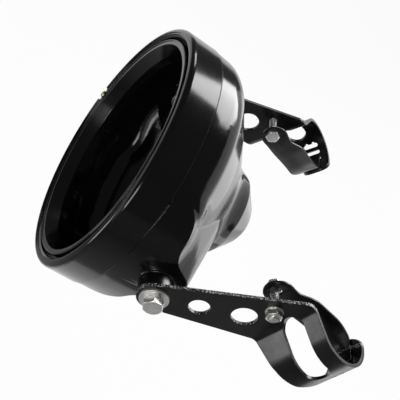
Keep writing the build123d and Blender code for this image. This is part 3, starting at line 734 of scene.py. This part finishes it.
    def build(self, book: FinishBook, finish: Finish) -> bpy.types.Object:
        """Model, join and dress the bolt.

        Args:
            book: The finishes.
            finish: The bolt's finish.

        Returns:
            The finished bolt, which rides on its body in place of the plain one.
        """
        bolt, *others = self.head(), self.core(), self.thread()
        pick(bolt)
        for other in others:
            other.select_set(True)
        bpy.ops.object.join()
        bolt.name = self.node + "_threaded"
        pick(bolt)
        bpy.ops.object.shade_smooth_by_angle(angle=SMOOTH_ANGLE)
        book.dress(bolt, finish)
        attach(bolt, self.body)
        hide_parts(self.node)
        LOG.info("bolt %s with %d faces", bolt.name, len(bolt.data.polygons))
        return bolt


@dataclass(frozen=True)
class Press:
    """One push of the sheet beside a tongue: its place, its way from the tongue and its reach."""

    y: float
    z: float
    push: float
    reach: float


@dataclass
class PressedBucket:
    """The bucket with the sheet beside each tongue drawn into a hollow that flows into the shoulder.

    It starts from a copy of the bucket's solid. The front rim, the holes and the middle of each bolt seat
    stay where they are. The first press draws the shoulder out, and the second one hollows the flank.
    """

    node: str = "bucket"
    body: str = "lamp"
    weld: float = 0.00002
    drum_r: float = 0.0955
    nose_r: float = 0.0198
    flank_x: float = 0.050
    flank_y: float = 0.028
    flank_z: float = 0.045
    flank_edge: float = 0.0045
    flank_slope: float = 0.41
    cut_step: float = 0.0025
    cut_offset: float = 0.37
    cuts_up: int = 37
    cuts_along: int = 13
    presses: tuple[Press, ...] = (
        Press(y=0.0280, z=0.0480, push=0.0060, reach=0.023),
        Press(y=0.0445, z=0.0245, push=-0.0050, reach=0.019),
    )

    def on_flank(self, face: bmesh.types.BMFace) -> bool:
        """Tell whether a face is on a tongue's flank or its edge.

        Args:
            face: A face of the bucket.

        Returns:
            True where its place and its normal are those of a flank.
        """
        middle = face.calc_center_median()
        past = (middle.y - PIVOT_Y + abs(middle.z)) * DIAGONAL - self.nose_r
        near = abs(middle.x) > self.flank_x and abs(middle.z) < self.flank_z and middle.y > self.flank_y
        return near and past > -self.flank_edge and abs(face.normal.z) > self.flank_slope

    def cut(self, piece: bpy.types.Object, place: Triple, facing: Triple) -> None:
        """Cut the flanks along one plane, so that they can bend.

        Args:
            piece: The bucket's copy, in edit mode.
            place: A point of the plane.
            facing: The plane's normal.
        """
        for face in bmesh.from_edit_mesh(piece.data).faces:
            face.select_set(self.on_flank(face))
        bmesh.update_edit_mesh(piece.data)
        bpy.ops.mesh.bisect(plane_co=place, plane_no=facing)

    def push(self, piece: bpy.types.Object, side: Side, up: int, press: Press) -> None:
        """Move the sheet round one point along the drum, square to the flank, fading out with distance.

        Args:
            piece: The bucket's copy.
            side: The tongue's side.
            up: 1 for the upper flank and -1 for the lower one.
            press: The push.
        """
        x = math.sqrt(self.drum_r ** 2 - press.z ** 2)
        share = press.push * DIAGONAL
        start = Vector((side.value * x, press.y, up * press.z))
        way = Vector((-side.value * share * press.z / self.drum_r, share, up * share * x / self.drum_r))
        ends = []
        for place in (start, start + way):
            deselect_all()
            bpy.ops.object.empty_add(location=place)
            ends.append(bpy.context.object)
        warp = piece.modifiers.new("press", "WARP")
        warp.object_from, warp.object_to = ends
        warp.falloff_type = "SMOOTH"
        warp.falloff_radius = press.reach
        apply_modifier(piece, warp)
        for end in ends:
            bpy.data.objects.remove(end)

    def build(self, book: FinishBook) -> bpy.types.Object:
        """Copy the bucket, cut its flanks and press them.

        Args:
            book: The finishes.

        Returns:
            The finished bucket, which rides on the lamp in place of the plain one.
        """
        piece = bpy.data.objects.new("bucket_pressed", frame["nodes"][self.node].data.copy())
        bpy.context.scene.collection.objects.link(piece)
        pick(piece)
        bpy.ops.object.mode_set(mode="EDIT")
        bpy.ops.mesh.select_all(action="SELECT")
        bpy.ops.mesh.remove_doubles(threshold=self.weld)
        for number in range(self.cuts_up):
            height = (number + self.cut_offset) * self.cut_step - self.flank_z
            self.cut(piece, (0.0, 0.0, height), (0.0, 0.0, 1.0))
        for number in range(self.cuts_along):
            along = (number + self.cut_offset) * self.cut_step + self.flank_y
            self.cut(piece, (0.0, along, 0.0), (0.0, 1.0, 0.0))
        bpy.ops.object.mode_set(mode="OBJECT")
        for side in Side:
            for up in (1, -1):
                for press in self.presses:
                    self.push(piece, side, up, press)
        pick(piece)
        bpy.ops.object.shade_smooth_by_angle(angle=SMOOTH_ANGLE)
        even = piece.modifiers.new("even shading", "WEIGHTED_NORMAL")
        even.keep_sharp = True
        apply_modifier(piece, even)
        book.dress(piece, Finish.GLOSS_BLACK)
        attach(piece, self.body)
        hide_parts(self.node)
        LOG.info("bucket %s with %d faces", piece.name, len(piece.data.polygons))
        return piece


class Assembly:
    """A body of the part, whose CAD pieces are dressed by the record's slots."""

    body: str

    def dress(self, book: FinishBook) -> None:
        """Give every CAD piece of this body the finish of its record slot.

        Args:
            book: The finishes.
        """
        slots = {row["node"]: row["material_slot"] for row in frame["record"]["subparts"]}
        for node in frame["record"]["behaviour"]["bodies"][self.body]:
            finish = Finish[slots[node].upper()]
            book.dress(frame["nodes"][node], finish)
            LOG.info("%s: %s", node, finish.slot)


@dataclass
class Lamp(Assembly):
    """The bucket with its rings, seal, screw and grommet, and the bolts that carry it."""

    body: str = "lamp"
    bolt: BoltSize = BoltSize(
        shank_r=0.004, head_height=0.0053, pitch=0.00125, thread_length=0.022, head_chamfer_r=0.0063,
    )

    def build(self, book: FinishBook) -> None:
        """Model the pressed bucket and the two side bolts.

        Args:
            book: The finishes.
        """
        PressedBucket().build(book)
        for side in Side:
            bolt = ThreadedBolt(side.word + "_side_bolt", self.body, side, HeadEnd.OUTER, self.bolt)
            bolt.build(book, Finish.BRIGHT_STEEL)


def eased(value: float, start: float, end: float) -> float:
    """Rise smoothly from 0 to 1 over a span.

    Args:
        value: Where on the span.
        start: The span's start.
        end: The span's end.

    Returns:
        The share, held at both ends.
    """
    share = min(max((value - start) / (end - start), 0.0), 1.0)
    return share * share * (3.0 - 2.0 * share)


def blend(start: float, end: float, share: float) -> float:
    """Return the value at a share of the way from start to end."""
    return start + (end - start) * share


class CrossLine(NamedTuple):
    """A line across the strap: its place along the arm and outwards, and its low and top end."""

    along: float
    out: float
    low: float
    top: float

    @property
    def middle(self) -> float:
        """Return the height of the line's middle."""
        return (self.low + self.top) / 2

    @property
    def width(self) -> float:
        """Return the line's length."""
        return self.top - self.low


@dataclass
class ClampStrap:
    """The strap that closes a bracket's band round the fork leg, with a flowing outline.

    It is drawn along the arm from the lamp's pivot, upright across the arm and outwards from the middle.
    """

    side: Side
    lean: float
    sheet: float = 0.0015
    lobe_along: float = 0.0628
    lobe_up: float = 0.0525
    lobe_r: float = 0.0107
    lobe_out: float = 0.0906
    neck_half: float = 0.0096
    neck_along: float = 0.0715
    full_along: float = 0.0870
    bend_along: float = 0.0720
    run_slope: float = 0.10747
    wrap_along: float = 0.1035
    fork_along: float = 0.1021
    fork_out: float = 0.1139
    wrap_r: float = 0.01995
    wrap_turns: Span = (-82.0, 6.2)
    low_turns: Span = (-70.0, -12.0)
    top_turns: Span = (-40.0, -12.0)
    top_up: float = 0.0677
    wrap_low_up: float = 0.0452
    tongue_low: float = 0.0555
    tongue_top: float = 0.0665
    hook: tuple[Span, ...] = ((0.12170, 0.11824), (0.12696, 0.11982), (0.12935, 0.11662))
    slot_along: float = 0.05985
    slot_up: float = 0.0523
    slot_r: float = 0.0033
    slot_length: float = 0.010
    slot_steps: int = 48
    slot_slack: float = 1e-6
    lead: float = 0.00015
    edge: float = 0.00025
    edge_angle: float = 50.0
    smooth_angle: float = 40.0
    steps: int = 14

    def lobe_line(self, share: float) -> CrossLine:
        """Lay a line across the round lobe.

        Args:
            share: How far along the lobe it is, from 0 to 1.

        Returns:
            The line.
        """
        turn = math.radians(90.0 * share)
        half = self.lobe_r * math.sin(turn)
        along = self.lobe_along - self.lobe_r * math.cos(turn)
        return CrossLine(along, self.lobe_out, self.lobe_up - half, self.lobe_up + half)

    def run_line(self, share: float) -> CrossLine:
        """Lay a line across the run, which narrows behind the lobe and then widens.

        Args:
            share: How far along the run it is, from 0 to 1.

        Returns:
            The line.
        """
        along = blend(self.lobe_along, self.wrap_along, share)
        out = self.lobe_out + max(along - self.bend_along, 0.0) * self.run_slope
        half = blend(self.lobe_r, self.neck_half, eased(along, self.lobe_along, self.neck_along))
        low = blend(self.lobe_up - half, self.wrap_low_up, eased(along, self.neck_along, self.wrap_along))
        top = blend(self.lobe_up + half, self.top_up, eased(along, self.neck_along, self.full_along))
        return CrossLine(along, out, low, top)

    def wrap_line(self, share: float) -> CrossLine:
        """Lay a line across the arc round the fork leg, which narrows to the tongue.

        Args:
            share: How far along the arc it is, from 0 to 1.

        Returns:
            The line.
        """
        turn = blend(*self.wrap_turns, share)
        low = blend(self.wrap_low_up, self.tongue_low, eased(turn, *self.low_turns))
        top = blend(self.top_up, self.tongue_top, eased(turn, *self.top_turns))
        along = self.fork_along + self.wrap_r * math.cos(math.radians(turn))
        out = self.fork_out + self.wrap_r * math.sin(math.radians(turn))
        return CrossLine(along, out, low, top)

    def lines(self) -> list[CrossLine]:
        """Lay out the strip's lines from the lobe to the hook.

        Returns:
            The lines in order.
        """
        shares = [step / self.steps for step in range(1, self.steps + 1)]
        rows = [line(share) for line in (self.lobe_line, self.run_line, self.wrap_line) for share in shares]
        return rows + [CrossLine(*place, self.tongue_low, self.tongue_top) for place in self.hook]

    def strip(self) -> bpy.types.Object:
        """Draw the strap as a strip, line by line.

        Returns:
            The strip's object, on the arm's own axes.
        """
        lines = self.lines()
        first = lines[0]
        way = self.side.value
        deselect_all()
        bpy.ops.mesh.primitive_plane_add(size=1.0, rotation=ALONG_X)
        strip = bpy.context.object
        settle(strip)
        bpy.ops.object.mode_set(mode="EDIT")
        bpy.ops.mesh.select_mode(type="VERT")
        bpy.ops.mesh.select_all(action="SELECT")
        bpy.ops.transform.resize(value=(1.0, self.lead, first.width), center_override=(0.0, 0.0, 0.0))
        bpy.ops.transform.translate(value=(way * first.out, first.along - self.lead / 2, first.middle))
        bpy.ops.mesh.select_all(action="DESELECT")
        bpy.ops.object.mode_set(mode="OBJECT")
        front = max(vertex.co.y for vertex in strip.data.vertices)
        for vertex in strip.data.vertices:
            vertex.select = vertex.co.y > front - self.lead / 2
        bpy.ops.object.mode_set(mode="EDIT")
        for before, after in zip(lines, lines[1:]):
            shift = (way * (after.out - before.out), after.along - before.along, after.middle - before.middle)
            bpy.ops.mesh.extrude_region_move(TRANSFORM_OT_translate={"value": shift})
            bpy.ops.transform.resize(
                value=(1.0, 1.0, after.width / before.width),
                center_override=(way * after.out, after.along, after.middle),
            )
        bpy.ops.object.mode_set(mode="OBJECT")
        return strip

    def bolt_slot(self) -> bpy.types.Object:
        """Model the cutter of the clamp bolt's slot.

        Returns:
            The cutter's object, on the arm's own axes.
        """
        half_run = self.slot_length / 2 - self.slot_r
        deselect_all()
        bpy.ops.mesh.primitive_cylinder_add(
            vertices=self.slot_steps, radius=self.slot_r, depth=self.slot_length,
            location=(self.side.value * self.lobe_out, self.slot_along, self.slot_up), rotation=ALONG_X,
        )
        cutter = bpy.context.object
        settle(cutter)
        for way in (1, -1):
            for vertex in cutter.data.vertices:
                vertex.select = (vertex.co.y - self.slot_along) * way > self.slot_slack
            bpy.ops.object.mode_set(mode="EDIT")
            bpy.ops.transform.translate(value=(0.0, way * half_run, 0.0))
            bpy.ops.mesh.select_all(action="DESELECT")
            bpy.ops.object.mode_set(mode="OBJECT")
        return cutter

    def build(self, book: FinishBook) -> bpy.types.Object:
        """Model the strap in sheet, cut its slot, seat it and dress it.

        Args:
            book: The finishes.

        Returns:
            The finished strap, which rides on its bracket in place of the plain one.
        """
        strap = self.strip()
        strap.name = self.side.word + "_strap_flowing"
        thick = strap.modifiers.new("sheet", "SOLIDIFY")
        thick.thickness = self.sheet
        thick.offset = 0.0
        apply_modifier(strap, thick)
        combine(strap, self.bolt_slot(), "DIFFERENCE")
        ease_edges(strap, self.edge, self.edge_angle)
        bpy.ops.object.mode_set(mode="EDIT")
        bpy.ops.mesh.select_all(action="SELECT")
        bpy.ops.mesh.normals_make_consistent(inside=False)
        bpy.ops.object.mode_set(mode="OBJECT")
        strap.rotation_euler = (-math.radians(self.lean), 0.0, 0.0)
        strap.location = (0.0, PIVOT_Y, 0.0)
        settle(strap)
        bpy.ops.object.shade_smooth_by_angle(angle=math.radians(self.smooth_angle))
        book.dress(strap, Finish.SATIN_BLACK)
        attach(strap, self.side.word + "_bracket")
        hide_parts(self.side.word + "_clamp_strap")
        LOG.info("strap %s with %d faces", strap.name, len(strap.data.polygons))
        return strap


@dataclass
class ForkBracket(Assembly):
    """One bracket with its clamp strap and clamp bolt."""

    side: Side
    lean: float
    bolt: BoltSize = BoltSize(
        shank_r=0.003, head_height=0.004, pitch=0.001, thread_length=0.020, head_chamfer_r=0.0048,
    )

    @property
    def body(self) -> str:
        """Return the bracket's body name."""
        return self.side.word + "_bracket"

    def build(self, book: FinishBook) -> None:
        """Model the clamp bolt and the clamp strap.

        Args:
            book: The finishes.
        """
        bolt = ThreadedBolt(self.side.word + "_clamp_bolt", self.body, self.side, HeadEnd.INNER, self.bolt)
        bolt.build(book, Finish.ZINC_STEEL)
        ClampStrap(self.side, self.lean).build(book)


@dataclass(frozen=True)
class SoftBox:
    """A square studio light that faces the lamp."""

    name: str
    towards: Triple
    distance: float
    width: float
    height: float
    radiance: float

    def build(self, centre: Vector) -> bpy.types.Object:
        """Hang the light.

        Args:
            centre: The point it faces.

        Returns:
            The light's object.
        """
        data = bpy.data.lights.new(self.name, "AREA")
        data.shape = "RECTANGLE"
        data.size = self.width
        data.size_y = self.height
        data.energy = self.radiance * math.pi * self.width * self.height
        light = bpy.data.objects.new(self.name, data)
        way = Vector(self.towards).normalized()
        light.location = centre + way * self.distance
        light.rotation_mode = "QUATERNION"
        light.rotation_quaternion = way.to_track_quat("Z", "Y")
        light.visible_camera = False
        bpy.context.scene.collection.objects.link(light)
        return light


@dataclass(frozen=True)
class Flag:
    """A grey card that keeps light off one side, as a studio flag does."""

    name: str
    place: Triple
    width: float
    height: float
    faces: Triple
    grain: float = 0.02
    dark: Colour = (0.42, 0.42, 0.42)
    light: Colour = (0.48, 0.48, 0.48)

    def build(self) -> bpy.types.Object:
        """Stand the card up.

        Returns:
            The card's object.
        """
        deselect_all()
        bpy.ops.mesh.primitive_plane_add(size=1.0, location=self.place)
        card = bpy.context.object
        card.name = self.name
        card.scale = (self.width, self.height, 1.0)
        card.rotation_mode = "QUATERNION"
        card.rotation_quaternion = Vector(self.faces).normalized().to_track_quat("Z", "Y")
        settle(card)
        tree = ShaderTree(self.name)
        matt = tree.add("ShaderNodeBsdfDiffuse")
        tree.join(tree.tint(tree.noise(self.grain), self.dark, self.light), matt.inputs["Color"])
        tree.join(matt.outputs["BSDF"], tree.output.inputs["Surface"])
        card.data.materials.append(tree.material)
        card.visible_camera = False
        card.visible_shadow = False
        return card


@dataclass
class Studio:
    """White floor, dim surroundings, soft boxes and flags."""

    floor_drop: float = 0.42
    floor_size: float = 30.0
    floor_white: Colour = (0.86, 0.86, 0.86)
    floor_glow: float = 0.95
    dim_level: float = 0.09
    boxes: tuple[SoftBox, ...] = (
        SoftBox("key box", (-0.56, 0.43, 0.71), distance=1.0, width=0.46, height=0.66, radiance=9.5),
        SoftBox("front box", (0.40, -0.82, -0.40), distance=0.75, width=0.22, height=0.26, radiance=5.0),
        SoftBox("side box", (0.90, -0.34, 0.24), distance=0.9, width=0.32, height=0.30, radiance=6.0),
        SoftBox("edge box", (-0.80, -0.09, 0.59), distance=1.0, width=0.30, height=0.26, radiance=6.0),
        SoftBox("back sweep", (-0.30, 0.93, 0.20), distance=1.18, width=1.95, height=1.6, radiance=0.80),
        SoftBox("back strip", (0.33, 0.84, -0.42), distance=0.9, width=0.35, height=0.25, radiance=2.2),
    )
    flags: tuple[Flag, ...] = (
        Flag("side flag", (0.95, -0.20, -0.50), width=1.4, height=2.9, faces=(0.0, 0.0, 1.0)),
        Flag("front flag", (-0.25, -0.60, -0.50), width=1.0, height=1.2, faces=(0.0, 0.0, 1.0)),
        Flag("standing flag", (1.66, 0.30, -0.22), width=2.6, height=0.56, faces=(-1.0, 0.0, 0.0)),
    )

    def floor(self) -> bpy.types.Object:
        """Lay a white floor below the lamp, which the camera and mirrors see alike.

        Returns:
            The floor's object.
        """
        deselect_all()
        low = CAD_BOX[0]
        bpy.ops.mesh.primitive_plane_add(size=self.floor_size, location=(0.0, 0.0, low.z - self.floor_drop))
        floor = bpy.context.object
        floor.name = "floor"
        settle(floor)
        tree = ShaderTree("white floor")
        matt = tree.add("ShaderNodeBsdfDiffuse", color=(*self.floor_white, 1.0))
        glow = tree.add("ShaderNodeEmission", strength=1.0)
        path = tree.add("ShaderNodeLightPath")
        seen = tree.maths("MAXIMUM", path.outputs["Is Camera Ray"], path.outputs["Is Glossy Ray"])
        seen = tree.maths("MAXIMUM", seen, path.outputs["Is Transmission Ray"])
        mix = tree.add("ShaderNodeMixShader")
        tree.join(tree.maths("MULTIPLY", seen, self.floor_glow), mix.inputs["Fac"])
        tree.join(matt.outputs["BSDF"], mix.inputs[1])
        tree.join(glow.outputs["Emission"], mix.inputs[2])
        tree.join(mix.outputs["Shader"], tree.output.inputs["Surface"])
        floor.data.materials.append(tree.material)
        return floor

    def surroundings(self) -> None:
        """Make the room round the floor dim and even."""
        world = bpy.data.worlds.new("studio")
        world.use_nodes = True
        room = world.node_tree.nodes["Background"]
        room.inputs["Color"].default_value = (1.0, 1.0, 1.0, 1.0)
        room.inputs["Strength"].default_value = self.dim_level
        bpy.context.scene.world = world

    def build(self) -> None:
        """Lay the floor and hang the lights."""
        centre = (CAD_BOX[0] + CAD_BOX[1]) / 2
        self.floor()
        self.surroundings()
        for box in self.boxes:
            box.build(centre)
        for flag in self.flags:
            flag.build()
        bpy.context.scene.view_settings.view_transform = "Standard"


@dataclass
class PhotoCamera:
    """The camera, above and beside the lamp, rolled as the picture was taken."""

    place: Triple = (0.4922, -0.2065, 0.4091)
    right: Triple = (-0.0770, 0.7830, 0.6170)
    down: Triple = (0.7030, 0.4820, -0.5230)
    focus_pixels: float = 932.2
    frame_pixels: float = 400.0
    sensor: float = 36.0

    def build(self) -> bpy.types.Object:
        """Set up the scene's camera.

        Returns:
            The camera's object.
        """
        data = bpy.data.cameras.new("photo camera")
        data.sensor_width = self.sensor
        data.lens = self.focus_pixels * self.sensor / self.frame_pixels
        camera = bpy.data.objects.new("photo camera", data)
        bpy.context.scene.collection.objects.link(camera)
        across = Vector(self.right).normalized()
        up = -Vector(self.down)
        up = (up - across * up.dot(across)).normalized()
        back = across.cross(up)
        turn = Matrix((across, up, back)).transposed()
        camera.matrix_world = Matrix.Translation(Vector(self.place)) @ turn.to_4x4()
        bpy.context.scene.camera = camera
        return camera


def main() -> None:
    """Dress the CAD pieces, build the new ones and set up the studio and the camera."""
    logging.basicConfig(level=logging.INFO, format="%(name)s: %(message)s")
    book = FinishBook()
    assemblies = [Lamp(), ForkBracket(Side.LEFT, LEFT_LEAN), ForkBracket(Side.RIGHT, RIGHT_LEAN)]
    for assembly in assemblies:
        assembly.dress(book)
        assembly.build(book)
    Studio().build()
    PhotoCamera().build()


if __name__ == "__main__":
    main()
